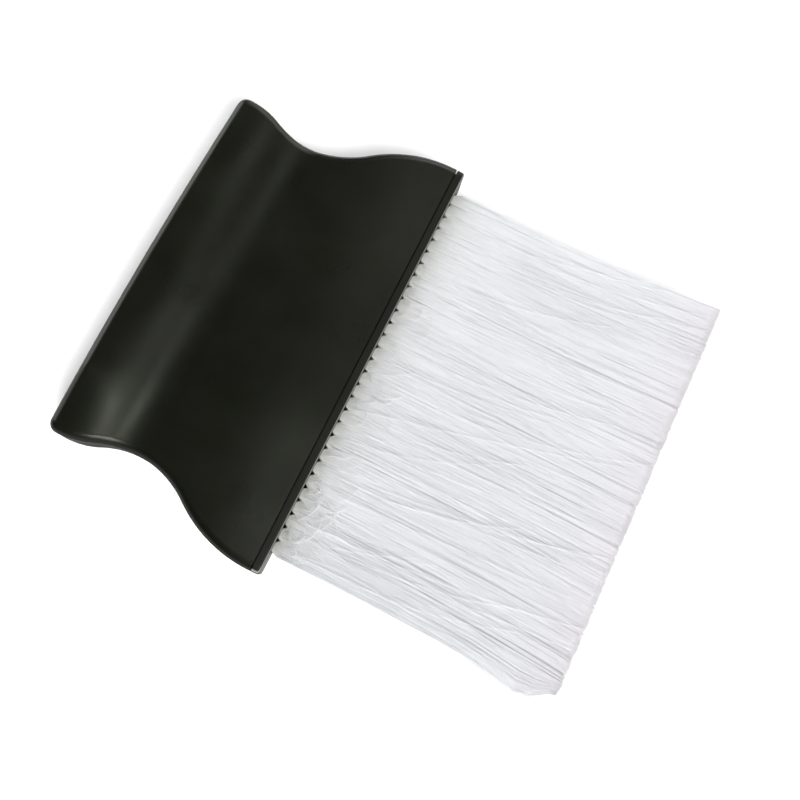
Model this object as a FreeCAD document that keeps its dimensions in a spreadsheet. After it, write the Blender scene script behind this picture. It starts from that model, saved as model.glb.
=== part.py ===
import FreeCAD, Part
import math
import os

import Sketcher
from FreeCAD import Placement, Rotation, Vector

# A neck duster: a flat two-shell handle with a wavy outline, a drilled block in its mouth, and
# soft nylon tufts that are each stapled into a hole of the block by a flat metal anchor.
#
# Every piece is drawn in the brush's own frame: X runs from the handle's back end (x = 0) to the
# bristle tips, Y is the width, and z = 0 is the parting plane between the two shells. A placement
# then moves the pieces so that the brush lies on z = 0 with the origin under its middle.

doc = FreeCAD.newDocument("neck_duster")

# ---------------------------------------------------------------- driving dimensions, in mm

SIZES = (
    ("overall_length", 173.4, "handle's back end to bristle tips"),
    ("shell_length", 75.3, "handle's back end to the mouth of the shells"),
    ("back_bow", 1.1, "how far the back end bulges between its corners"),
    ("back_lobe_x", 4.5, "end of the straight run beside the back corner"),
    ("back_lobe_half", 62.3, "half width at the back"),
    ("waist_x", 28.0, "narrowest place of the outline"),
    ("waist_half", 57.4, "half width at the waist"),
    ("waist_radius", 32.0, "radius of the finger hollow in the outline"),
    ("front_lobe_x", 74.7, "start of the straight run beside the mouth"),
    ("front_lobe_half", 73.1, "half width at the mouth"),
    ("half_thickness", 8.5, "parting plane to the flat lands of a shell"),
    ("back_land_x", 7.0, "end of the flat land at the back"),
    ("valley_x", 28.0, "lowest place of the thumb hollow"),
    ("valley_half", 5.8, "parting plane to the bottom of the thumb hollow"),
    ("valley_radius", 34.0, "radius of the thumb hollow"),
    ("front_land_x", 66.0, "start of the flat land at the mouth"),
    ("corner_radius", 3.2, "back corners, seen from above"),
    ("edge_radius", 2.8, "rounded rim of a shell"),
    ("wall", 1.8, "wall of a shell"),
    ("parting_chamfer", 0.25, "tiny bevel that draws the parting line"),
    ("rib_thickness", 1.6, "ribs inside a shell"),
    ("rib_spacing", 28.0, "distance between neighbouring ribs"),
    ("rib_back_x", 11.0, "where the ribs start"),
    ("boss_radius", 3.6, "round bosses inside a shell"),
    ("boss_back_x", 16.0, "back pair of bosses"),
    ("boss_front_x", 52.0, "front pair of bosses"),
    ("boss_half", 28.0, "half the distance between the bosses of a pair"),
    ("pin_radius", 1.6, "locating pins of the upper shell"),
    ("pin_length", 4.0, "how far the pins reach into the lower shell"),
    ("pin_clearance", 0.08, "radial clearance of a pin in its socket"),
    ("seam_gap", 0.4, "open seam between the shells and the block's flange"),
    ("flange_depth", 2.6, "thickness of the block's flange, along X"),
    ("flange_edge", 0.9, "rounding of the flange's front edge"),
    ("plug_depth", 8.0, "how far the block's plug reaches into the mouth"),
    ("plug_clearance", 0.1, "gap between the plug and the shell walls"),
    ("tuft_count", 29, "tufts in one row"),
    ("row_count", 4, "rows of tufts"),
    ("tuft_pitch", 4.54, "distance between tufts of a row, at the block"),
    ("row_pitch", 3.1, "distance between rows, at the block"),
    ("tip_tuft_pitch", 4.84, "distance between tufts of a row, at the tips"),
    ("tip_row_pitch", 3.9, "distance between rows, at the tips"),
    ("hole_radius", 1.4, "tuft holes in the block"),
    ("hole_depth", 8.0, "depth of the tuft holes"),
    ("tuft_clearance", 0.05, "gap between a tuft and its hole"),
    ("tip_gap", 0.3, "gap between neighbouring tufts at the tips"),
    ("tip_cut", 0.5, "cut corner of a tuft at its tip"),
    ("anchor_lift", 0.6, "folded filament under an anchor"),
    ("anchor_depth", 1.6, "size of an anchor along the hole"),
    ("anchor_thickness", 0.35, "thickness of an anchor"),
    ("anchor_width", 3.8, "length of an anchor across its hole"),
)

sheet = doc.addObject("Spreadsheet::Sheet", "Sizes")
for row, (alias, value, note) in enumerate(SIZES, start=1):
    sheet.set(f"A{row}", alias)
    sheet.set(f"B{row}", str(value))
    sheet.setAlias(f"B{row}", alias)
    sheet.set(f"C{row}", note)
doc.recompute()


def size(alias):
    """A driving dimension as a number."""
    return float(sheet.get(alias))


def formula(text):
    """An expression over the sheet: each alias in braces becomes a reference to its cell."""
    return text.replace("{", "Sizes.").replace("}", "")


# ---------------------------------------------------------------- sketch helpers

START, END, CENTRE = 1, 2, 3
ORIGIN_POINT = (-1, 1)
HORIZONTAL_AXIS = -1
VERTICAL_AXIS = -2


def new_body(name):
    body = doc.addObject("PartDesign::Body", name)
    body.Label = name
    return body


def origin_feature(body, role):
    return next(item for item in body.Origin.OriginFeatures if item.Role == role)


def new_sketch(body, name, role, offset=None):
    """An empty sketch on one of the body's own origin planes, moved along the plane's normal."""
    sketch = body.newObject("Sketcher::SketchObject", name)
    sketch.AttachmentSupport = [(origin_feature(body, role), "")]
    sketch.MapMode = "FlatFace"
    if offset:
        sketch.setExpression(".AttachmentOffset.Base.z", formula(offset))
    return sketch


def bind(sketch, constraint, text):
    """Add a dimensional constraint and let an expression drive it."""
    index = sketch.addConstraint(constraint)
    sketch.setExpression(f"Constraints[{index}]", formula(text))


def pin_along(sketch, point, text, kind, axis):
    """Hold one coordinate of a sketch point at an expression, whatever its sign."""
    value = float(sketch.evalExpression(formula(text)))
    if abs(value) < 1e-9:
        sketch.addConstraint(Sketcher.Constraint("PointOnObject", *point, axis))
    elif value > 0:
        bind(sketch, Sketcher.Constraint(kind, *ORIGIN_POINT, *point, value), text)
    else:
        bind(sketch, Sketcher.Constraint(kind, *point, *ORIGIN_POINT, -value), f"-({text})")


def pin_point(sketch, point, x=None, y=None):
    if x is not None:
        pin_along(sketch, point, x, "DistanceX", VERTICAL_AXIS)
    if y is not None:
        pin_along(sketch, point, y, "DistanceY", HORIZONTAL_AXIS)


def number(sketch, text):
    return float(sketch.evalExpression(formula(text)))


def add_line(sketch, first, last):
    return sketch.addGeometry(Part.LineSegment(Vector(*first, 0), Vector(*last, 0)))


def add_arc(sketch, centre, first, last):
    """The counter-clockwise arc about a centre from one point's direction to another's."""
    radius = math.dist(centre, first)
    angles = [math.atan2(end[1] - centre[1], end[0] - centre[0]) for end in (first, last)]
    circle = Part.Circle(Vector(*centre, 0), Vector(0, 0, 1), radius)
    return sketch.addGeometry(Part.ArcOfCircle(circle, *angles))


def join(sketch, *ends):
    sketch.addConstraint(Sketcher.Constraint("Coincident", *ends))


def add_rectangle(sketch, x_low, x_high, y_low, y_high):
    """A rectangle whose four sides are held at expressions."""
    left, right = number(sketch, x_low), number(sketch, x_high)
    bottom, top = number(sketch, y_low), number(sketch, y_high)
    corners = ((left, bottom), (right, bottom), (right, top), (left, top))
    sides = [add_line(sketch, corners[i], corners[(i + 1) % 4]) for i in range(4)]
    for i, side in enumerate(sides):
        join(sketch, side, END, sides[(i + 1) % 4], START)
        direction = "Horizontal" if i % 2 == 0 else "Vertical"
        sketch.addConstraint(Sketcher.Constraint(direction, side))
    pin_point(sketch, (sides[0], START), x_low, y_low)
    pin_point(sketch, (sides[1], END), x_high, y_high)


def add_circle(sketch, x, y, radius):
    centre = Vector(number(sketch, x), number(sketch, y), 0)
    circle = sketch.addGeometry(Part.Circle(centre, Vector(0, 0, 1), number(sketch, radius)))
    bind(sketch, Sketcher.Constraint("Radius", circle, number(sketch, radius)), radius)
    pin_point(sketch, (circle, CENTRE), x, y)


def tangent_point(centre, radius, other_centre, other_radius):
    share = radius / (radius + other_radius)
    return tuple(a + (b - a) * share for a, b in zip(centre, other_centre))


def crest_radius(crest, dip, dip_radius):
    """Radius of the arc that leaves a level crest and meets the dip's arc smoothly."""
    across, down = dip[0] - crest[0], abs(crest[1]) - abs(dip[1])
    return (across**2 + down**2) / (2 * down) - dip_radius


def add_wavy_edge(sketch, crests, dip, dip_radius, ends, side=1):
    """A level run, a crest, a dip, a crest and a level run, all tangent to each other.

    crests and dip are (x, y) expressions, with y taken times side; ends are the rough x of the
    two outer ends, which the caller pins. Returns the two level runs, drawn towards +X.
    """
    sign = "" if side > 0 else "-"
    (back_x, back_y), (front_x, front_y) = crests
    back = (number(sketch, back_x), side * number(sketch, back_y))
    front = (number(sketch, front_x), side * number(sketch, front_y))
    low = (number(sketch, dip[0]), side * number(sketch, dip[1]))
    radius = number(sketch, dip_radius)
    dip_centre = (low[0], low[1] + side * radius)
    back_radius = crest_radius(back, low, radius)
    front_radius = crest_radius(front, low, radius)
    back_centre = (back[0], back[1] - side * back_radius)
    front_centre = (front[0], front[1] - side * front_radius)
    back_meet = tangent_point(back_centre, back_radius, dip_centre, radius)
    front_meet = tangent_point(front_centre, front_radius, dip_centre, radius)

    back_run = add_line(sketch, (ends[0], back[1]), back)
    front_run = add_line(sketch, front, (ends[1], front[1]))
    if side > 0:
        near, far = START, END
        back_arc = add_arc(sketch, back_centre, back_meet, back)
        dip_arc = add_arc(sketch, dip_centre, back_meet, front_meet)
        front_arc = add_arc(sketch, front_centre, front, front_meet)
    else:
        near, far = END, START
        back_arc = add_arc(sketch, back_centre, back, back_meet)
        dip_arc = add_arc(sketch, dip_centre, front_meet, back_meet)
        front_arc = add_arc(sketch, front_centre, front_meet, front)

    for run in (back_run, front_run):
        sketch.addConstraint(Sketcher.Constraint("Horizontal", run))
    pin_point(sketch, (back_run, END), back_x, f"{sign}({back_y})")
    pin_point(sketch, (front_run, START), front_x, f"{sign}({front_y})")
    pin_point(sketch, (dip_arc, CENTRE), dip[0], f"{sign}({dip[1]} + {dip_radius})")
    bind(sketch, Sketcher.Constraint("Radius", dip_arc, radius), dip_radius)
    for ends_that_touch in (
        (back_run, END, back_arc, far),
        (back_arc, near, dip_arc, near),
        (dip_arc, far, front_arc, far),
        (front_arc, near, front_run, START),
    ):
        sketch.addConstraint(Sketcher.Constraint("Tangent", *ends_that_touch))
    return back_run, front_run


# ---------------------------------------------------------------- feature helpers


def add_feature(body, kind, name, profile, **properties):
    feature = body.newObject(f"PartDesign::{kind}", name)
    feature.Profile = profile
    for key, value in properties.items():
        setattr(feature, key, value)
    return feature


def add_pad(body, name, sketch, length, **properties):
    pad = add_feature(body, "Pad", name, sketch, **properties)
    pad.setExpression("Length", formula(length))
    doc.recompute()
    return pad


def add_cut(body, name, sketch, depth=None, **properties):
    """A pocket, through everything where no depth is given. It must remove material."""
    before = body.Shape.Volume
    pocket = add_feature(body, "Pocket", name, sketch, **properties)
    if depth is None:
        pocket.Type = "ThroughAll"
    else:
        pocket.setExpression("Length", formula(depth))
    doc.recompute()
    if body.Shape.Volume >= before - 1e-3:
        raise RuntimeError(f"{name} removes nothing")
    return pocket


def edges_where(feature, test):
    """Names of the feature's edges whose bounding box passes a test."""
    edges = enumerate(feature.Shape.Edges, start=1)
    return [f"Edge{index}" for index, edge in edges if test(edge.BoundBox)]


def dress(body, kind, name, edges, key, value):
    """A fillet or chamfer on named edges of the body's tip."""
    base = body.Tip
    feature = body.newObject(f"PartDesign::{kind}", name)
    feature.Base = (base, edges)
    feature.setExpression(key, formula(value))
    doc.recompute()
    return feature


def place(item, turned=False):
    """Lay a piece down: origin under the brush's middle, lands of the lower shell on z = 0."""
    if turned:
        item.Placement = Placement(Vector(), Rotation(Vector(1, 0, 0), 180))
    item.setExpression(".Placement.Base.x", formula("-{overall_length} / 2"))
    item.setExpression(".Placement.Base.z", formula("{half_thickness}"))


# ---------------------------------------------------------------- handle shells


def draw_plan(sketch, inset):
    """The handle seen from above, moved inwards by an inset: wavy sides, bowed back, flat mouth."""
    crests = (
        ("{back_lobe_x}", f"{{back_lobe_half}} - {inset}"),
        ("{front_lobe_x}", f"{{front_lobe_half}} - {inset}"),
    )
    dip = ("{waist_x}", f"{{waist_half}} - {inset}")
    dip_radius = f"({{waist_radius}} + {inset})"
    ends = (size("back_bow"), size("shell_length"))
    upper = add_wavy_edge(sketch, crests, dip, dip_radius, ends)
    lower = add_wavy_edge(sketch, crests, dip, dip_radius, ends, side=-1)

    bow_radius = "({back_lobe_half}^2 + {back_bow}^2) / (2 * {back_bow})"
    bow_centre = (number(sketch, bow_radius), 0)
    half = number(sketch, crests[0][1])
    corner = (number(sketch, f"{{back_bow}} + {inset}"), half)
    back = add_arc(sketch, bow_centre, corner, (corner[0], -half))
    radius = f"{bow_radius} - {inset}"
    bind(sketch, Sketcher.Constraint("Radius", back, number(sketch, radius)), radius)
    pin_point(sketch, (back, CENTRE), bow_radius, "0")
    join(sketch, back, START, upper[0], START)
    join(sketch, back, END, lower[0], START)

    mouth_half = number(sketch, crests[1][1])
    mouth = add_line(sketch, (ends[1], -mouth_half), (ends[1], mouth_half))
    join(sketch, mouth, START, lower[1], END)
    join(sketch, mouth, END, upper[1], END)
    sketch.addConstraint(Sketcher.Constraint("Vertical", mouth))
    pin_point(sketch, (mouth, START), x="{shell_length}")


def draw_above_the_shell(sketch, inset):
    """Everything above a shell's outer face, seen from the side: the wave and a box over it."""
    overrun = "2"
    crests = (
        ("{back_land_x}", f"{{half_thickness}} - {inset}"),
        ("{front_land_x}", f"{{half_thickness}} - {inset}"),
    )
    dip = ("{valley_x}", f"{{valley_half}} - {inset}")
    dip_radius = f"({{valley_radius}} + {inset})"
    ends = (-number(sketch, overrun), number(sketch, f"{{shell_length}} + {overrun}"))
    back_run, front_run = add_wavy_edge(sketch, crests, dip, dip_radius, ends)
    low = number(sketch, crests[0][1])
    high = number(sketch, f"{{half_thickness}} + {overrun}")
    rise = add_line(sketch, (ends[1], low), (ends[1], high))
    top = add_line(sketch, (ends[1], high), (ends[0], high))
    fall = add_line(sketch, (ends[0], high), (ends[0], low))
    join(sketch, front_run, END, rise, START)
    join(sketch, rise, END, top, START)
    join(sketch, top, END, fall, START)
    join(sketch, fall, END, back_run, START)
    sketch.addConstraint(Sketcher.Constraint("Vertical", rise))
    sketch.addConstraint(Sketcher.Constraint("Vertical", fall))
    pin_point(sketch, (top, START), f"{{shell_length}} + {overrun}", f"{{half_thickness}} + {overrun}")
    pin_point(sketch, (top, END), f"-{overrun}", f"{{half_thickness}} + {overrun}")


def wavy_slab(name, inset):
    """A body with the outer form of half the handle, moved inwards by an inset."""
    body = new_body(name)
    plan = new_sketch(body, f"{name}_plan", "XY_Plane")
    draw_plan(plan, inset)
    add_pad(body, f"{name}_slab", plan, "{half_thickness}")
    side = new_sketch(body, f"{name}_side", "XZ_Plane")
    draw_above_the_shell(side, inset)
    add_cut(body, f"{name}_wave", side, Midplane=True)
    return body


def round_the_rim(body):
    """Round the back corners and the rim of the outer face, and bevel the parting edge."""
    corners = edges_where(body.Tip, lambda box: box.XMax < size("back_lobe_x") and box.ZLength > 5)
    dress(body, "Fillet", f"{body.Name}_corners", corners, "Radius", "{corner_radius}")

    def is_outline(box):
        spans_the_width = box.YLength > 2 * size("waist_half") - 2 * size("corner_radius")
        return not spans_the_width or box.XMax < size("back_lobe_x")

    def on_the_rim(box):
        return box.ZMin > 1 and box.XMin < size("shell_length") - 1e-3 and is_outline(box)

    rim = edges_where(body.Tip, on_the_rim)
    dress(body, "Fillet", f"{body.Name}_rim", rim, "Radius", "{edge_radius}")

    def on_the_parting_edge(box):
        return box.ZMax < 1e-3 and box.XMin < size("shell_length") - 1e-3

    parting = edges_where(body.Tip, on_the_parting_edge)
    dress(body, "Chamfer", f"{body.Name}_parting", parting, "Size", "{parting_chamfer}")


def boss_places():
    return [(x, y) for x in ("{boss_back_x}", "{boss_front_x}") for y in ("{boss_half}", "-{boss_half}")]


def draw_ribs(sketch):
    """Four ribs along the handle that stop just behind the block's plug."""
    stop = "{shell_length} - {plug_depth} - {plug_clearance}"
    for place_in_row in (-1.5, -0.5, 0.5, 1.5):
        middle = f"{place_in_row} * {{rib_spacing}}"
        low, high = f"{middle} - {{rib_thickness}} / 2", f"{middle} + {{rib_thickness}} / 2"
        add_rectangle(sketch, "{rib_back_x}", stop, low, high)


def draw_circles(sketch, places, radius):
    for x, y in places:
        add_circle(sketch, x, y, radius)


def shell_core(name):
    """What is hollow inside a shell: the inset form without the ribs and the bosses."""
    core = wavy_slab(name, "{wall}")
    ribs = new_sketch(core, f"{name}_ribs", "XY_Plane")
    draw_ribs(ribs)
    add_cut(core, f"{name}_rib_slots", ribs, Reversed=True)
    bosses = new_sketch(core, f"{name}_bosses", "XY_Plane")
    draw_circles(bosses, boss_places(), "{boss_radius}")
    add_cut(core, f"{name}_boss_holes", bosses, Reversed=True)
    return core


def handle_shell(name):
    """A hollow half of the handle, open at the parting plane and at the mouth."""
    body = wavy_slab(name, "0")
    round_the_rim(body)
    core = shell_core(f"{name}_core")
    hollow = body.newObject("PartDesign::Boolean", f"{name}_hollow")
    hollow.Type = "Cut"
    hollow.setObjects([core])
    doc.recompute()
    return body


def upper_shell():
    body = handle_shell("handle_upper_shell")
    pins = new_sketch(body, "locating_pins", "XY_Plane")
    draw_circles(pins, boss_places(), "{pin_radius}")
    add_pad(body, "locating_pin_pads", pins, "{pin_length}", Reversed=True)
    place(body)
    return body


def lower_shell():
    body = handle_shell("handle_lower_shell")
    sockets = new_sketch(body, "locating_sockets", "XY_Plane")
    draw_circles(sockets, boss_places(), "{pin_radius} + {pin_clearance}")
    depth = "{pin_length} + 0.5"
    add_cut(body, "locating_socket_pockets", sockets, depth=depth, Reversed=True)
    place(body, turned=True)
    return body


# ---------------------------------------------------------------- tuft block

FLANGE_BACK = "({shell_length} + {seam_gap})"
BLOCK_FRONT = "({shell_length} + {seam_gap} + {flange_depth})"
HOLE_BOTTOM = "({shell_length} + {seam_gap} + {flange_depth} - {hole_depth})"


def section_sketch(body, name, inset, x):
    """A rectangle across the mouth, at a distance along X, smaller than the handle by an inset."""
    sketch = new_sketch(body, name, "YZ_Plane", offset=x)
    half_width = f"({{front_lobe_half}} - {inset})"
    half_height = f"({{half_thickness}} - {inset})"
    add_rectangle(sketch, f"-{half_width}", half_width, f"-{half_height}", half_height)
    return sketch


def first_tuft(axis):
    """Where a row or a column of tufts starts, as an expression."""
    count, pitch = {"y": ("row_count", "row_pitch"), "x": ("tuft_count", "tuft_pitch")}[axis]
    return f"-({{{count}}} - 1) / 2 * {{{pitch}}}"


def tuft_grid(body, holes):
    """Repeat the first hole across the width and across the thickness."""
    grid = body.newObject("PartDesign::MultiTransform", "tuft_holes")
    grid.Originals = holes
    steps = []
    for axis, count, pitch in (("Y_Axis", "tuft_count", "tuft_pitch"), ("Z_Axis", "row_count", "row_pitch")):
        step = body.newObject("PartDesign::LinearPattern", f"holes_along_{axis[0].lower()}")
        step.Direction = (origin_feature(body, axis), [""])
        step.setExpression("Length", formula(f"({{{count}}} - 1) * {{{pitch}}}"))
        step.setExpression("Occurrences", formula(f"{{{count}}}"))
        steps.append(step)
    grid.Transformations = steps
    body.Tip = grid
    doc.recompute()


def tuft_block():
    """The flange that closes the mouth, the plug behind it, and the drilled tuft holes."""
    body = new_body("tuft_block")
    flange = section_sketch(body, "flange_outline", "0", FLANGE_BACK)
    add_pad(body, "flange", flange, "{flange_depth}")
    corners = edges_where(body.Tip, lambda box: box.XLength > 1)
    dress(body, "Fillet", "flange_corners", corners, "Radius", "{edge_radius}")
    front = number(flange, BLOCK_FRONT)
    rim = edges_where(body.Tip, lambda box: box.XMin > front - 1e-3)
    dress(body, "Fillet", "flange_front_edge", rim, "Radius", "{flange_edge}")

    plug_inset = "({wall} + {plug_clearance})"
    plug = section_sketch(body, "plug_outline", plug_inset, "{shell_length} - {plug_depth}")
    add_pad(body, "plug", plug, "{plug_depth} + {seam_gap}")

    hole = new_sketch(body, "hole_outline", "YZ_Plane", offset=BLOCK_FRONT)
    across, up = first_tuft("x"), first_tuft("y")
    add_circle(hole, across, up, "{hole_radius}")
    drilled = add_cut(body, "hole", hole, depth="{hole_depth}")
    bite = new_sketch(body, "anchor_bite_outline", "YZ_Plane", offset=BLOCK_FRONT)
    half_width, half_height = "{anchor_width} / 2", "{anchor_thickness} / 2"
    add_rectangle(
        bite,
        f"{across} - {half_width}",
        f"{across} + {half_width}",
        f"{up} - {half_height}",
        f"{up} + {half_height}",
    )
    scored = add_cut(body, "anchor_bite", bite, depth="{hole_depth} - {anchor_lift}")
    tuft_grid(body, [drilled, scored])
    place(body)
    return body


# ---------------------------------------------------------------- anchors and tufts


def anchor_row(row):
    """The flat metal pins of one row, each across its hole and gripped at both ends."""
    body = new_body(f"anchor_row_{row + 1}")
    body.AllowCompound = True
    outline = new_sketch(body, f"anchor_outline_{row + 1}", "YZ_Plane", f"{HOLE_BOTTOM} + {{anchor_lift}}")
    across, up = first_tuft("x"), f"{first_tuft('y')} + {row} * {{row_pitch}}"
    add_rectangle(
        outline,
        f"{across} - {{anchor_width}} / 2",
        f"{across} + {{anchor_width}} / 2",
        f"{up} - {{anchor_thickness}} / 2",
        f"{up} + {{anchor_thickness}} / 2",
    )
    pad = add_pad(body, f"anchor_{row + 1}", outline, "{anchor_depth}")
    pattern = body.newObject("PartDesign::LinearPattern", f"anchors_{row + 1}")
    pattern.Originals = [pad]
    pattern.Direction = (origin_feature(body, "Y_Axis"), [""])
    pattern.setExpression("Length", formula("({tuft_count} - 1) * {tuft_pitch}"))
    pattern.setExpression("Occurrences", formula("{tuft_count}"))
    body.Tip = pattern
    doc.recompute()
    place(body)
    return body


def octagon(x, y, z, half_width, half_height, cut):
    """A closed wire across X: a rectangle with its corners cut off at 45 degrees."""
    corners = (
        (half_width, half_height - cut),
        (half_width - cut, half_height),
        (cut - half_width, half_height),
        (-half_width, half_height - cut),
    )
    points = [Vector(x, y + across, z + up) for across, up in corners]
    points += [Vector(x, y - across, z - up) for across, up in corners]
    return Part.makePolygon(points + points[:1])


def tuft(column, row):
    """One tuft as a plain solid: a close fit in its hole, then widening to its share of the tips."""
    across = column - (size("tuft_count") - 1) / 2
    up = row - (size("row_count") - 1) / 2
    root = (across * size("tuft_pitch"), up * size("row_pitch"))
    tip = (across * size("tip_tuft_pitch"), up * size("tip_row_pitch"))
    bottom = number(sheet, HOLE_BOTTOM)
    mouth = number(sheet, BLOCK_FRONT)
    root_half = (size("hole_radius") - size("tuft_clearance")) * math.cos(math.pi / 8)
    root_cut = root_half * (1 - math.tan(math.pi / 8))
    tip_half_width = (size("tip_tuft_pitch") - size("tip_gap")) / 2
    tip_half_height = (size("tip_row_pitch") - size("tip_gap")) / 2
    outlines = [
        octagon(bottom, *root, root_half, root_half, root_cut),
        octagon(mouth, *root, root_half, root_half, root_cut),
        octagon(size("overall_length"), *tip, tip_half_width, tip_half_height, size("tip_cut")),
    ]
    anchor_corner = Vector(
        bottom + size("anchor_lift"),
        root[0] - size("anchor_width") / 2,
        root[1] - size("anchor_thickness") / 2,
    )
    anchor_slot = Part.makeBox(
        size("anchor_depth"), size("anchor_width"), size("anchor_thickness"), anchor_corner
    )
    return Part.makeLoft(outlines, True, True).cut(anchor_slot)


def tuft_column(column):
    """The tufts that stand one above the other, from the lowest row to the highest."""
    name = f"tuft_column_{column + 1:02d}"
    feature = doc.addObject("Part::Feature", name)
    feature.Label = name
    tufts = [tuft(column, row) for row in range(int(size("row_count")))]
    feature.Shape = Part.makeCompound([solid for item in tufts for solid in item.Solids])
    place(feature)
    return feature


# ---------------------------------------------------------------- build, check and write

pieces = [upper_shell(), lower_shell(), tuft_block()]
pieces += [anchor_row(row) for row in range(int(size("row_count")))]
pieces += [tuft_column(column) for column in range(int(size("tuft_count")))]
doc.recompute()

for item in doc.Objects:
    if {"Invalid", "Error"} & set(item.State):
        raise RuntimeError(f"{item.Name} failed: {item.State}")

os.makedirs("parts", exist_ok=True)
for piece in pieces:
    if piece.Shape.isNull() or not piece.Shape.isValid():
        raise RuntimeError(f"{piece.Label} has no valid shape")
for piece in pieces:
    piece.Shape.exportStep(f"parts/{piece.Label}.step")
    box = piece.Shape.BoundBox
    print(
        f"{piece.Label}: {len(piece.Shape.Solids)} solids, {piece.Shape.Volume / 1000:.2f} cm3,"
        f" x {box.XMin:.2f} to {box.XMax:.2f}, y {box.YMin:.2f} to {box.YMax:.2f},"
        f" z {box.ZMin:.2f} to {box.ZMax:.2f}"
    )
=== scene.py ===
"""Looks of a neck duster brush: satin black shells, a black block and soft pale nylon tufts.

The shells, the block and the staple anchors are the CAD nodes with better materials. Each column
of tufts is replaced by the filaments that it stands for. Lengths are in metres unless a name says
otherwise, and MM turns millimetres into metres.
"""

import math

import bpy
import numpy as np
from mathutils import Matrix, Vector


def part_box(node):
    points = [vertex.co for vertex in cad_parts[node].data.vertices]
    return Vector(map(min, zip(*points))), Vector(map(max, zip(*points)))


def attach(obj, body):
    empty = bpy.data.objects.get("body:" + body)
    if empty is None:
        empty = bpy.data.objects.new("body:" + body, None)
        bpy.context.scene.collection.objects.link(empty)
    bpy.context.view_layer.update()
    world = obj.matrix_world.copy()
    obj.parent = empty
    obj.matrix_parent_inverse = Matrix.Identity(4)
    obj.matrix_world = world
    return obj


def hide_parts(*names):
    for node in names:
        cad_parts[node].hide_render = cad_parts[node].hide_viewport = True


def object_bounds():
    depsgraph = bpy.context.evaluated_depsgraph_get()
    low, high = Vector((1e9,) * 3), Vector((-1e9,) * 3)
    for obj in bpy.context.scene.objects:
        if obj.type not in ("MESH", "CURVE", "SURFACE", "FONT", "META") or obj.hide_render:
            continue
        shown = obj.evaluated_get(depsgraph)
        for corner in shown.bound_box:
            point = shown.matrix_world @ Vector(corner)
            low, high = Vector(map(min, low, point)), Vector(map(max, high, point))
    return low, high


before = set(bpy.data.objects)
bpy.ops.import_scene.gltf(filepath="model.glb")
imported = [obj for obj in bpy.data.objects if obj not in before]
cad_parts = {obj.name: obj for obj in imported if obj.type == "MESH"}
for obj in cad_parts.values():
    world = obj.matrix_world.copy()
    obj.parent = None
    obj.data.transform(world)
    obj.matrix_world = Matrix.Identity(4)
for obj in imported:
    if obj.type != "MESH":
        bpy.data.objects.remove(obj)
CAD_LOW, CAD_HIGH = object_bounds()

MM = 0.001
SEED = 29

# ---------------------------------------------------------------- node material helpers


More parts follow.
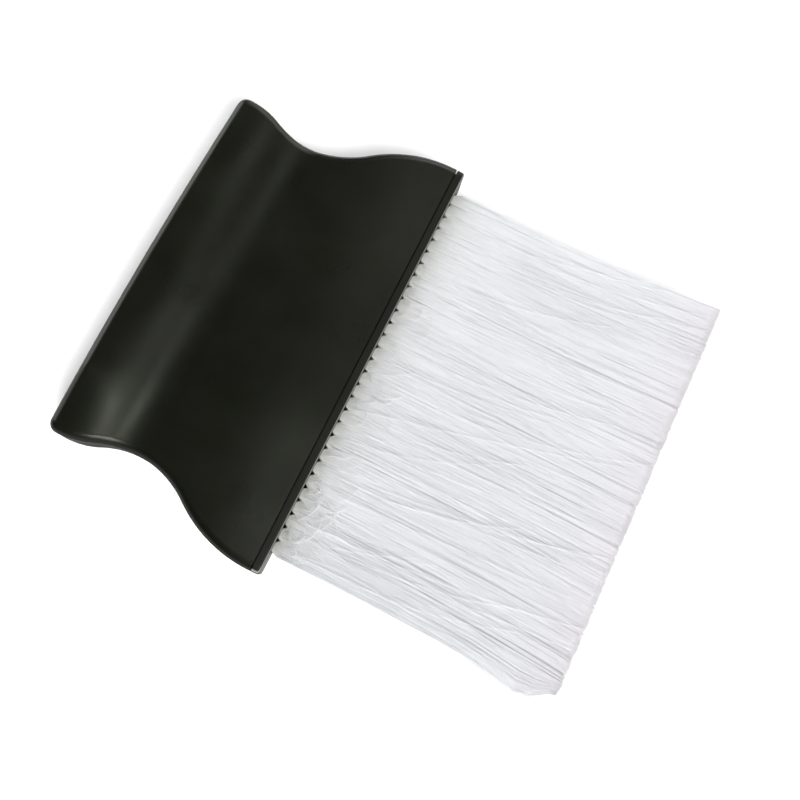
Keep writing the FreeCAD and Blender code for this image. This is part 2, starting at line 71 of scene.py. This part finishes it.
class Shader:
    """A Principled material whose nodes are added by name and joined left to right."""

    def __init__(self, name, surface):
        self.material = bpy.data.materials.new(name)
        self.material.use_nodes = True
        self.nodes = self.material.node_tree.nodes
        self.links = self.material.node_tree.links
        self.surface = self.nodes["Principled BSDF"]
        for socket, value in surface.items():
            self.surface.inputs[socket].default_value = value
        self.place = self.nodes.new("ShaderNodeTexCoord").outputs["Object"]

    def join(self, source, target):
        self.links.new(source, target)

    def stretched(self, scale):
        """Object coordinates stretched by a scale for each axis."""
        mapping = self.nodes.new("ShaderNodeMapping")
        mapping.inputs["Scale"].default_value = scale
        self.join(self.place, mapping.inputs["Vector"])
        return mapping.outputs["Vector"]

    def noise(self, scale, detail=3.0, stretch=(1, 1, 1), roughness=0.5):
        node = self.nodes.new("ShaderNodeTexNoise")
        node.inputs["Scale"].default_value = scale
        node.inputs["Detail"].default_value = detail
        node.inputs["Roughness"].default_value = roughness
        self.join(self.stretched(stretch), node.inputs["Vector"])
        return node.outputs["Fac"]

    def swell(self, centre, radius):
        """A round hump that falls off smoothly to nothing at its radius."""
        mapping = self.nodes.new("ShaderNodeMapping")
        mapping.vector_type = "TEXTURE"
        mapping.inputs["Location"].default_value = centre
        mapping.inputs["Scale"].default_value = (radius, radius, radius)
        self.join(self.place, mapping.inputs["Vector"])
        node = self.nodes.new("ShaderNodeTexGradient")
        node.gradient_type = "QUADRATIC_SPHERE"
        self.join(mapping.outputs["Vector"], node.inputs["Vector"])
        return node.outputs["Fac"]

    def levelness(self, low, high):
        """0 on the sides and 1 on the top and bottom, by how level the surface is."""
        split = self.nodes.new("ShaderNodeSeparateXYZ")
        self.join(self.nodes["Texture Coordinate"].outputs["Normal"], split.inputs["Vector"])
        level = self.nodes.new("ShaderNodeMath")
        level.operation = "ABSOLUTE"
        self.join(split.outputs["Z"], level.inputs[0])
        return self.mapped(level.outputs["Value"], low, high, 0.0, 1.0)

    def added(self, first, second):
        node = self.nodes.new("ShaderNodeMath")
        self.join(first, node.inputs[0])
        self.join(second, node.inputs[1])
        return node.outputs["Value"]

    def attribute(self, name):
        node = self.nodes.new("ShaderNodeAttribute")
        node.attribute_name = name
        return node.outputs["Fac"]

    def mapped(self, source, low, high, to_low, to_high):
        node = self.nodes.new("ShaderNodeMapRange")
        values = (low, high, to_low, to_high)
        for socket, value in zip(("From Min", "From Max", "To Min", "To Max"), values):
            node.inputs[socket].default_value = value
        self.join(source, node.inputs["Value"])
        return node.outputs["Result"]

    def ramp(self, source, *stops):
        node = self.nodes.new("ShaderNodeValToRGB")
        ramp = node.color_ramp
        while len(ramp.elements) < len(stops):
            ramp.elements.new(0.5)
        for element, (position, colour) in zip(ramp.elements, stops):
            element.position = position
            element.color = (*colour, 1.0)
        self.join(source, node.inputs["Fac"])
        return node.outputs["Color"]

    def mix(self, first, second, share, blend="MIX"):
        """Two colours mixed by a plain share or by a socket."""
        node = self.nodes.new("ShaderNodeMix")
        node.data_type = "RGBA"
        node.blend_type = blend
        factor = node.inputs["Factor"]
        if isinstance(share, float):
            factor.default_value = share
        else:
            self.join(share, factor)
        for socket, colour in zip((node.inputs[6], node.inputs[7]), (first, second)):
            if isinstance(colour, tuple):
                socket.default_value = (*colour, 1.0)
            else:
                self.join(colour, socket)
        return node.outputs[2]

    def bump(self, *layers):
        """Bumps on top of each other, each a height socket with its depth in metres."""
        below = None
        for height, depth in layers:
            node = self.nodes.new("ShaderNodeBump")
            node.inputs["Strength"].default_value = 1.0
            node.inputs["Distance"].default_value = depth
            self.join(height, node.inputs["Height"])
            if below is not None:
                self.join(below, node.inputs["Normal"])
            below = node.outputs["Normal"]
        self.join(below, self.surface.inputs["Normal"])

    def colour(self, socket):
        self.join(socket, self.surface.inputs["Base Color"])

    def roughness(self, socket):
        self.join(socket, self.surface.inputs["Roughness"])

    def specular(self, socket):
        self.join(socket, self.surface.inputs["Specular IOR Level"])

    def glow(self, colour, share):
        """Let a share of the light through, spread evenly and tinted by a colour socket."""
        through = self.nodes.new("ShaderNodeBsdfTranslucent")
        self.join(colour, through.inputs["Color"])
        blend = self.nodes.new("ShaderNodeMixShader")
        blend.inputs["Fac"].default_value = share
        self.join(self.surface.outputs["BSDF"], blend.inputs[1])
        self.join(through.outputs["BSDF"], blend.inputs[2])
        self.join(blend.outputs["Shader"], self.nodes["Material Output"].inputs["Surface"])


# ---------------------------------------------------------------- materials


def handle_plastic():
    """Satin black moulded plastic: a fine grain, soft flow marks, a swell, and a handled top.

    The top and bottom, which hands rub, are smoother and shinier than the sides.
    """
    gloss = {"IOR": 1.42, "Specular IOR Level": 0.3, "Specular Tint": (0.96, 1.0, 0.86, 1.0)}
    shader = Shader("handle_plastic", gloss)
    flow = shader.noise(22, detail=1, stretch=(0.8, 1.1, 1))
    handling = shader.noise(60, detail=4)
    grain = shader.noise(4200, detail=2)
    swell = shader.swell((-84 * MM, -40 * MM, 16 * MM), 24 * MM)
    handled = shader.levelness(0.35, 0.9)
    black = shader.ramp(flow, (0.3, (0.0030, 0.0033, 0.0020)), (0.7, (0.0040, 0.0044, 0.0028)))
    shader.colour(black)
    polished = shader.mapped(handling, 0.3, 0.7, 0.26, 0.34)
    dull = shader.mapped(handled, 0.0, 1.0, 0.28, 0.0)
    shader.roughness(shader.added(polished, dull))
    shader.specular(shader.mapped(handled, 0.0, 1.0, 0.06, 0.3))
    shader.bump((flow, 1.4 * MM), (swell, 1.2 * MM), (grain, 0.010 * MM))
    return shader.material


def block_plastic():
    """A duller black with fine tool marks along the block, and a painted highlight: pale bands on
    the rounded edges where the surface turns between level and upright.
    """
    gloss = {"IOR": 1.42, "Specular IOR Level": 0.15, "Specular Tint": (0.96, 1.0, 0.88, 1.0)}
    shader = Shader("block_plastic", gloss)
    tone = shader.noise(40, detail=3)
    marks = shader.noise(900, detail=3, stretch=(1, 0.05, 1))
    black = shader.ramp(tone, (0.3, (0.0045, 0.0045, 0.0038)), (0.7, (0.0065, 0.0065, 0.0056)))
    # Painted highlight along the rounded edges: pale where they are half level and half upright.
    painted_edge_highlight = shader.ramp(
        shader.levelness(0.0, 1.0),
        (0.40, (0.0, 0.0, 0.0)),
        (0.60, (0.22, 0.22, 0.20)),
        (0.80, (0.0, 0.0, 0.0)),
    )
    shader.colour(shader.mix(black, painted_edge_highlight, 1.0, blend="ADD"))
    shader.roughness(shader.mapped(tone, 0.3, 0.7, 0.40, 0.52))
    shader.bump((marks, 0.015 * MM))
    return shader.material


def anchor_metal():
    """Drawn brass wire, dulled unevenly."""
    shader = Shader("anchor_metal", {"Metallic": 1.0})
    tarnish = shader.noise(700, detail=4)
    drawing = shader.noise(3000, detail=2, stretch=(1, 0.04, 1))
    shader.colour(shader.ramp(tarnish, (0.35, (0.42, 0.31, 0.14)), (0.65, (0.72, 0.58, 0.30))))
    shader.roughness(shader.mapped(tarnish, 0.3, 0.7, 0.45, 0.25))
    shader.bump((drawing, 0.01 * MM))
    return shader.material


def bristle_nylon():
    """Silky pale nylon: a tone for each filament, streaks along it, and painted shade that darkens
    the roots and the very tips.

    The attributes "tone" and "along" come with the mesh: along is 0 at the block and 1 at the tips.
    """
    shader = Shader("bristle_nylon", {"IOR": 1.53})
    tone = shader.attribute("tone")
    along = shader.attribute("along")
    body = shader.ramp(
        tone,
        (0.0, (0.815, 0.822, 0.838)),
        (0.5, (0.840, 0.846, 0.861)),
        (1.0, (0.865, 0.870, 0.884)),
    )
    # Painted shade: the roots are darkened and warmed near the block, and the last sliver of each
    # tip is darkened.
    painted_root_and_tip_shade = shader.ramp(
        along,
        (0.0, (0.70, 0.70, 0.64)),
        (0.035, (0.89, 0.89, 0.865)),
        (0.07, (0.95, 0.95, 0.94)),
        (0.17, (1.0, 1.0, 1.0)),
        (0.80, (1.0, 1.0, 1.0)),
        (0.98, (1.0, 0.98, 0.99)),
        (1.0, (0.90, 0.88, 0.88)),
    )
    shaded_body = shader.mix(body, painted_root_and_tip_shade, 1.0, blend="MULTIPLY")
    streaks = shader.noise(1500, detail=2, stretch=(0.02, 1, 1))
    shade = shader.ramp(streaks, (0.35, (0.99, 0.99, 0.992)), (0.65, (1.0, 1.0, 1.0)))
    colour = shader.mix(shaded_body, shade, 1.0, blend="MULTIPLY")
    shader.colour(colour)
    shader.roughness(shader.mapped(streaks, 0.3, 0.7, 0.36, 0.50))
    shader.bump((streaks, 0.004 * MM))
    shader.glow(colour, 0.5)
    return shader.material


def pale_floor():
    """A plain near-white sheet."""
    shader = Shader("pale_floor", {"Roughness": 0.9})
    tone = shader.noise(3, detail=2)
    shader.colour(shader.ramp(tone, (0.3, (0.90, 0.90, 0.90)), (0.7, (0.93, 0.93, 0.93))))
    return shader.material


NYLON = bristle_nylon()

# ---------------------------------------------------------------- CAD nodes that stay


def dress_cad_nodes():
    """Give each node that stays its material, by the start of its name."""
    finishes = {
        "handle_": handle_plastic(),
        "tuft_block": block_plastic(),
        "anchor_row_": anchor_metal(),
    }
    for name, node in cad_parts.items():
        for start, material in finishes.items():
            if name.startswith(start):
                for slot in node.material_slots:
                    slot.material = material


# ---------------------------------------------------------------- filaments

# How far along a filament each ring of its tube sits: close together at the root and the tip.
RING_SHARES = np.array(
    (0, 0.004, 0.017, 0.045, 0.10, 0.18, 0.29, 0.42, 0.56, 0.69, 0.79, 0.87, 0.93, 0.97, 1)
)
SIDES = 3
PER_TUFT = 400
LOCKS_PER_TUFT = 9
THICKNESS = 0.17 * MM
BLOCK_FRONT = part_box("tuft_block")[1].x
TIP_PLANE = CAD_HIGH.x
FREE_LENGTH = TIP_PLANE - BLOCK_FRONT
MIDDLE = (CAD_LOW.z + CAD_HIGH.z) / 2

# The shape of a tuft. Pairs are sideways (Y) and upright (Z).
HOLE_REACH = 2.0 * MM
ROOT_SPREAD = 1.32 * MM
TUFT_REACH = np.array((2.7, 1.75)) * MM
FLARE_LENGTHS = np.array((0.8, 5.0)) * MM
WIDENING_POWER = 2.4
UPRIGHT_FLARE_SHARE = 0.4
LOCK_GATHERING = 0.03

# Typical leans at the tip, in millimetres, and how they grow along a filament.
TUFT_LEAN_MM = (0.25, 0.04)
LOCK_LEAN_MM = (0.08, 0.03)
OWN_LEAN_MM = (1.20, 0.38)
LEAN_POWER = 1.5
BLUR_POWER = 0.7
BLUR_AT_ROOT = 0.27

# The slow wave of a filament, and the spread of tones, from 0 to 1, about their middle.
WAVE_SWING_MM = 0.05
WAVE_TURNS = (0.3, 0.8)
WAVE_PHASE_SPREAD = 0.5
UPRIGHT_WAVE_SHARE = 0.15
TUFT_TONE = 0.04
LOCK_TONE = 0.08
OWN_TONE = 0.15

# How far the filaments pass the CAD tips before they are cut, and the few that broke short.
CUT_MM = 0.9
COLUMN_CUT_SPREAD_MM = 0.04
OWN_CUT_SPREAD_MM = 0.45
BROKEN_SHARE = 0.02
BROKEN_OFF = (0.02, 0.12)

# The outline of the sheet of filaments, seen from above and from the side.
SHEET_HALF = 66.0 * MM
TIP_HALVES = {1: 70.3 * MM, -1: 69.0 * MM}
SURFACE_STATIONS = (BLOCK_FRONT, BLOCK_FRONT + 10 * MM, TIP_PLANE)
SURFACE_HEIGHTS = (14.4 * MM, 15.3 * MM, 16.0 * MM)
PACKED_DEPTH = 0.8 * MM
PACKING = 0.88
FOLD_BACK = 1.5
FLOOR_GAP = 0.3 * MM

# At one side the outermost filaments swell outwards before the tips and then tuck in.
CORNER_START = -61.5 * MM
CORNER_RADIUS = 8.0 * MM
CORNER_TRIM = 0.5
CORNER_BEND_START = 0.88
CORNER_SHARES = (0.70, 0.78, 0.83, 0.87, 0.90, 0.93, 0.98, 1.0)
CORNER_SHIFTS = np.array((0, -1.0, -1.8, -2.5, -2.2, -1.3, 2.3, 3.6)) * MM


def filament_mesh(name, paths, widths, tones):
    """One mesh of thin tubes. paths is filaments x rings x 3, widths filaments x rings."""
    count, rings = paths.shape[:2]
    along = np.gradient(paths, axis=1)
    along /= np.linalg.norm(along, axis=2, keepdims=True)
    side = np.cross(along, (0.0, 0.0, 1.0))
    side /= np.linalg.norm(side, axis=2, keepdims=True)
    up = np.cross(side, along)
    corner = np.arange(SIDES) * math.tau / SIDES
    ring = side[:, :, None] * np.cos(corner)[:, None] + up[:, :, None] * np.sin(corner)[:, None]
    points = paths[:, :, None] + ring * widths[:, :, None, None] / 2

    first = np.arange(count * rings * SIDES).reshape(count, rings, SIDES)
    turned = np.roll(first, -1, axis=2)
    walls = np.stack((first[:, :-1], turned[:, :-1], turned[:, 1:], first[:, 1:]), axis=-1)
    tips = first[:, -1]
    loops = np.concatenate((walls.ravel(), tips.ravel()))
    sizes = np.concatenate((np.full(walls.size // 4, 4), np.full(count, SIDES)))

    mesh = bpy.data.meshes.new(name)
    mesh.vertices.add(points.size // 3)
    mesh.vertices.foreach_set("co", points.astype(np.float32).ravel())
    mesh.loops.add(len(loops))
    mesh.loops.foreach_set("vertex_index", loops.astype(np.int32))
    mesh.polygons.add(len(sizes))
    mesh.polygons.foreach_set("loop_start", (np.cumsum(sizes) - sizes).astype(np.int32))
    mesh.polygons.foreach_set("use_smooth", np.ones(len(sizes), dtype=bool))
    mesh.update(calc_edges=True)
    mesh.validate()
    share = np.clip((points[..., 0] - BLOCK_FRONT) / FREE_LENGTH, 0, 1)
    tone = np.broadcast_to(tones[:, None, None], (count, rings, SIDES))
    for key, values in (("tone", tone), ("along", share)):
        layer = mesh.attributes.new(key, "FLOAT", "POINT")
        layer.data.foreach_set("value", np.ascontiguousarray(values, dtype=np.float32).ravel())
    mesh.materials.append(NYLON)
    piece = bpy.data.objects.new(name, mesh)
    bpy.context.scene.collection.objects.link(piece)
    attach(piece, "root")
    return piece


def tuft_ends(node):
    """Root and tip centres of a column's tufts, read from the corners of their end faces.

    An end face has eight sides, so its corners lie at four heights.
    """
    flat = 0.01 * MM
    heights_per_face = 4
    corners = np.array([vertex.co for vertex in node.data.vertices])
    ends = []
    for x in (corners[:, 0].min(), corners[:, 0].max()):
        face = corners[np.abs(corners[:, 0] - x) < flat]
        levels = np.unique(np.round(face[:, 2], 5))
        heights = levels.reshape(-1, heights_per_face).mean(axis=1)
        middle = (face[:, 1].min() + face[:, 1].max()) / 2
        ends.append([(middle, height) for height in heights])
    return np.array(ends)


def disc(rng, count):
    """Points that fill a unit disc evenly, as a sunflower fills its head, each a little off."""
    golden_angle = math.pi * (3 - math.sqrt(5))
    order = np.arange(count) + 0.5
    angle = order * golden_angle + rng.uniform(0, math.tau)
    even = np.sqrt(order / count)[:, None] * np.stack((np.cos(angle), np.sin(angle)), axis=1)
    return even + rng.normal(0, 0.5 / math.sqrt(count), (count, 2))


def tuft_paths(rng, root, tip, share):
    """Sideways and upright places of one tuft's filaments, with a tone for each.

    A tuft leaves a round hole, flares into a square so that it meets its neighbours, and is made
    of locks. Each filament also leans its own way, which blends the tufts into one sheet.
    """
    start = disc(rng, PER_TUFT)
    locks = disc(rng, LOCKS_PER_TUFT)
    nearest = np.argmin(np.linalg.norm(start[:, None] - locks[None], axis=2), axis=1)
    gathered = start + (locks[nearest] - start) * LOCK_GATHERING
    lean = rng.normal(0, TUFT_LEAN_MM, 2) * MM
    lock_lean = rng.normal(0, LOCK_LEAN_MM, (LOCKS_PER_TUFT, 2)) * MM
    own_lean = rng.normal(0, OWN_LEAN_MM, (PER_TUFT, 2)) * MM
    phase = rng.uniform(0, math.tau, LOCKS_PER_TUFT)[nearest]
    phase = phase + rng.normal(0, WAVE_PHASE_SPREAD, PER_TUFT)
    turns = rng.uniform(*WAVE_TURNS, LOCKS_PER_TUFT)[nearest]
    swing = np.abs(rng.normal(0, WAVE_SWING_MM, PER_TUFT)) * MM

    free = np.maximum(share, 0)
    flare = 1 - np.exp(-free[..., None] * FREE_LENGTH / FLARE_LENGTHS)
    growth = free**WIDENING_POWER
    rise = UPRIGHT_FLARE_SHARE * flare[..., 1] + (1 - UPRIGHT_FLARE_SHARE) * growth
    centre = root + (tip - root) * np.stack((growth, rise), axis=-1)
    spread = ROOT_SPREAD + (TUFT_REACH - ROOT_SPREAD) * flare
    shape = start[:, None] + (gathered - start)[:, None] * free[..., None]
    squared = 1 / np.abs(start / np.linalg.norm(start, axis=1, keepdims=True)).max(axis=1)
    offset = shape * spread * (1 + (squared[:, None, None] - 1) * flare)
    drift = (lean + lock_lean[nearest])[:, None] * (free**LEAN_POWER)[..., None]
    blur = BLUR_AT_ROOT * flare + (1 - BLUR_AT_ROOT) * (free**BLUR_POWER)[..., None]
    angle = turns[:, None] * share * math.tau + phase[:, None]
    wave = swing[:, None] * np.sin(angle) * flare[..., 1]
    path = centre + offset + drift + own_lean[:, None] * blur
    path[..., 0] += wave
    path[..., 1] += UPRIGHT_WAVE_SHARE * wave
    tone = 0.5 + rng.normal(0, TUFT_TONE) + rng.normal(0, LOCK_TONE, LOCKS_PER_TUFT)[nearest]
    tone = np.clip(tone + rng.normal(0, OWN_TONE, PER_TUFT), 0, 1)
    return path, tone


def fit_to_sheet(paths, share):
    """Pack the outer filaments flat, keep all inside the sheet, and round one tip corner."""
    height = paths[..., 2] - MIDDLE
    level = np.interp(paths[..., 0], SURFACE_STATIONS, SURFACE_HEIGHTS) - MIDDLE
    proud = np.maximum(np.abs(height) - (level - PACKED_DEPTH), 0)
    paths[..., 2] = np.maximum(MIDDLE + height - PACKING * proud * np.sign(height), FLOOR_GAP)
    widening = np.maximum(share, 0) ** WIDENING_POWER
    for side, tip_half in TIP_HALVES.items():
        limit = SHEET_HALF + (tip_half - SHEET_HALF) * widening
        beyond = np.maximum(side * paths[..., 1] - limit, 0)
        paths[..., 1] -= side * FOLD_BACK * beyond
    bend = np.clip((share - CORNER_BEND_START) / (1 - CORNER_BEND_START), 0, 1) ** 2
    beyond = np.clip(CORNER_START - paths[:, -1, 1], 0, CORNER_RADIUS)
    trimmed = CORNER_RADIUS - np.sqrt(CORNER_RADIUS**2 - (CORNER_TRIM * beyond) ** 2)
    paths[..., 0] -= trimmed[:, None] * bend
    outermost = beyond[:, None] / CORNER_RADIUS
    paths[..., 1] += outermost * np.interp(share, CORNER_SHARES, CORNER_SHIFTS)


def bristle_column(index, name, node):
    """The filaments of one column of tufts, cut to slightly uneven lengths."""
    rng = np.random.default_rng(SEED + index)
    roots, tips = tuft_ends(node)
    cut = CUT_MM + rng.normal(0, COLUMN_CUT_SPREAD_MM)
    sunk = HOLE_REACH / FREE_LENGTH
    paths, tones = [], []
    for root, tip in zip(roots, tips):
        own_cut = rng.normal(0, OWN_CUT_SPREAD_MM, PER_TUFT)
        lengths = 1 + (cut + own_cut) * MM / FREE_LENGTH
        broken_off = rng.uniform(*BROKEN_OFF, PER_TUFT)
        lengths -= broken_off * (rng.uniform(0, 1, PER_TUFT) < BROKEN_SHARE)
        share = (lengths[:, None] + sunk) * RING_SHARES - sunk
        across, tone = tuft_paths(rng, root, tip, share)
        x = BLOCK_FRONT + share * FREE_LENGTH
        tuft = np.concatenate((x[..., None], across), axis=-1)
        fit_to_sheet(tuft, share)
        paths.append(tuft)
        tones.append(tone)
    paths = np.concatenate(paths)
    taper = np.interp(RING_SHARES, (0, 0.9, 1), (1, 1, 0.75))
    widths = np.broadcast_to(THICKNESS * taper, paths.shape[:2])
    piece = filament_mesh(name, paths, widths, np.concatenate(tones))
    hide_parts(node.name)


def make_bristles():
    """One piece of filaments for each column of tufts in the CAD model."""
    columns = sorted(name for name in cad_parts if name.startswith("tuft_column_"))
    for index, name in enumerate(columns):
        bristle_column(index, name.replace("tuft_column", "bristles"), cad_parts[name])


# ---------------------------------------------------------------- stray filaments

HALF_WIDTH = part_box("tuft_block")[1].y


def stray_filaments(count=70):
    """Long filaments that left their tuft and lie across the others."""
    rng = np.random.default_rng(SEED + 1000)
    rings = 16
    thickness = 0.16 * MM
    clearance = 0.3 * MM
    reach = 0.95 * HALF_WIDTH
    steps = np.linspace(0, 1, rings)
    start_x = BLOCK_FRONT + rng.uniform(1, 30, count) * MM
    length = rng.uniform(30, 88, count) * MM
    length = np.minimum(length, TIP_PLANE - start_x)
    start_y = rng.uniform(-0.88, 0.88, count) * HALF_WIDTH
    slant = rng.normal(0, 0.10, count)
    curve = rng.normal(0, 7, count) * MM
    x = start_x[:, None] + length[:, None] * steps
    y = start_y[:, None] + slant[:, None] * length[:, None] * steps + curve[:, None] * steps**2
    y = np.clip(y, -reach, reach)
    surface = np.interp(x, SURFACE_STATIONS, SURFACE_HEIGHTS)
    lift = rng.uniform(0.1, 0.9, count)[:, None] * MM * np.sin(math.pi * steps)
    paths = np.stack((x, y, surface + clearance + lift), axis=-1)
    widths = np.full((count, rings), thickness)
    tones = rng.uniform(0.5, 1.0, count)
    filament_mesh("stray_filaments", paths, widths, tones)


def curly_bits(count=50):
    """Short broken filaments that curl up near the roots, most of them at one end."""
    rng = np.random.default_rng(SEED + 2000)
    rings = 14
    thickness = 0.18 * MM
    clearance = 0.4 * MM
    reach = 0.955 * HALF_WIDTH
    steps = np.linspace(0, 1, rings)
    length = rng.uniform(5, 15, count) * MM
    heading = rng.uniform(-0.9, 0.9, count)
    curl = rng.normal(0, 2.0, count)
    angle = heading[:, None] + curl[:, None] * steps
    step = length[:, None] / (rings - 1)
    start_x = BLOCK_FRONT + rng.uniform(0.3, 9, count) * MM
    x = start_x[:, None] + np.cumsum(np.cos(angle) * step, axis=1)
    start_y = (-0.93 + 1.75 * rng.beta(1.0, 2.6, count)) * HALF_WIDTH
    y = start_y[:, None] + np.cumsum(np.sin(angle) * step, axis=1)
    y = np.clip(y, -reach, reach)
    surface = np.interp(x, (BLOCK_FRONT, BLOCK_FRONT + 10 * MM), (14.6 * MM, 15.6 * MM))
    lift = rng.uniform(0.3, 1.4, count)[:, None] * MM * np.sin(math.pi * steps) ** 2
    paths = np.stack((x, y, surface + clearance + lift), axis=-1)
    widths = np.full((count, rings), thickness)
    filament_mesh("curly_bits", paths, widths, rng.uniform(0.7, 1.0, count))


# ---------------------------------------------------------------- floor, lights and camera


def floor():
    """A sheet that ends while it is still brightly lit, so it runs into the pale backdrop."""
    half = 0.8
    mesh = bpy.data.meshes.new("floor")
    corners = [(x * half, y * half, 0.0) for x, y in ((-1, -1), (1, -1), (1, 1), (-1, 1))]
    mesh.from_pydata(corners, [], [(0, 1, 2, 3)])
    mesh.materials.append(pale_floor())
    sheet = bpy.data.objects.new("floor", mesh)
    bpy.context.scene.collection.objects.link(sheet)


def softbox(name, direction, distance, size, power):
    """A square area light that faces the brush from a direction."""
    light = bpy.data.lights.new(name, "AREA")
    light.shape = "SQUARE"
    light.size = size
    light.energy = power
    lamp = bpy.data.objects.new(name, light)
    towards = Vector(direction).normalized()
    lamp.location = towards * distance
    lamp.rotation_mode = "QUATERNION"
    lamp.rotation_quaternion = towards.to_track_quat("Z", "Y")
    bpy.context.scene.collection.objects.link(lamp)


def light_the_studio():
    """Softboxes give all the light; the pale backdrop is only seen and lights nothing."""
    world = bpy.data.worlds.new("studio")
    world.use_nodes = True
    background = world.node_tree.nodes["Background"]
    background.inputs["Color"].default_value = (1.0, 1.0, 1.0, 1.0)
    background.inputs["Strength"].default_value = 1.0
    seen_by = world.cycles_visibility
    seen_by.diffuse = False
    seen_by.glossy = False
    seen_by.transmission = False
    seen_by.scatter = False
    scene = bpy.context.scene
    scene.world = world
    scene.view_settings.view_transform = "Standard"
    softbox("main_box", (0.75, -0.75, 1.05), 1.3, 0.9, 40)
    softbox("far_box", (0.0, 1.0, 0.60), 1.3, 0.9, 10)
    softbox("low_box", (-1.0, 0.3, 0.30), 1.3, 1.0, 15)
    softbox("top_spot", (0.08, -0.04, 1.0), 1.2, 0.14, 2.0)
    softbox("top_far_spot", (-0.08, 0.42, 1.0), 1.2, 0.16, 0.35)


LENS_MM = 40.5
CAMERA_SWING = math.radians(0.64)
CAMERA_TILT = math.radians(77.59)
CAMERA_ROLL = math.radians(25.95)
CAMERA_DISTANCE = 289.35 * MM
CAMERA_AIM = Vector((5.9 * MM, -4.44 * MM, 8.5 * MM))


def camera():
    """Looks along +Y and steeply down, turned about its own axis so that the tips point right."""
    data = bpy.data.cameras.new("camera")
    data.lens = LENS_MM
    data.sensor_width = 36.0
    data.clip_start = 0.01
    data.clip_end = 20.0
    eye = bpy.data.objects.new("camera", data)
    level = math.cos(CAMERA_TILT)
    away = Vector((
        level * math.sin(CAMERA_SWING),
        -level * math.cos(CAMERA_SWING),
        math.sin(CAMERA_TILT),
    ))
    turn = away.to_track_quat("Z", "Y").to_matrix() @ Matrix.Rotation(CAMERA_ROLL, 3, "Z")
    eye.matrix_world = Matrix.Translation(CAMERA_AIM + away * CAMERA_DISTANCE) @ turn.to_4x4()
    bpy.context.scene.collection.objects.link(eye)
    bpy.context.scene.camera = eye


dress_cad_nodes()
make_bristles()
stray_filaments()
curly_bits()
floor()
light_the_studio()
camera()
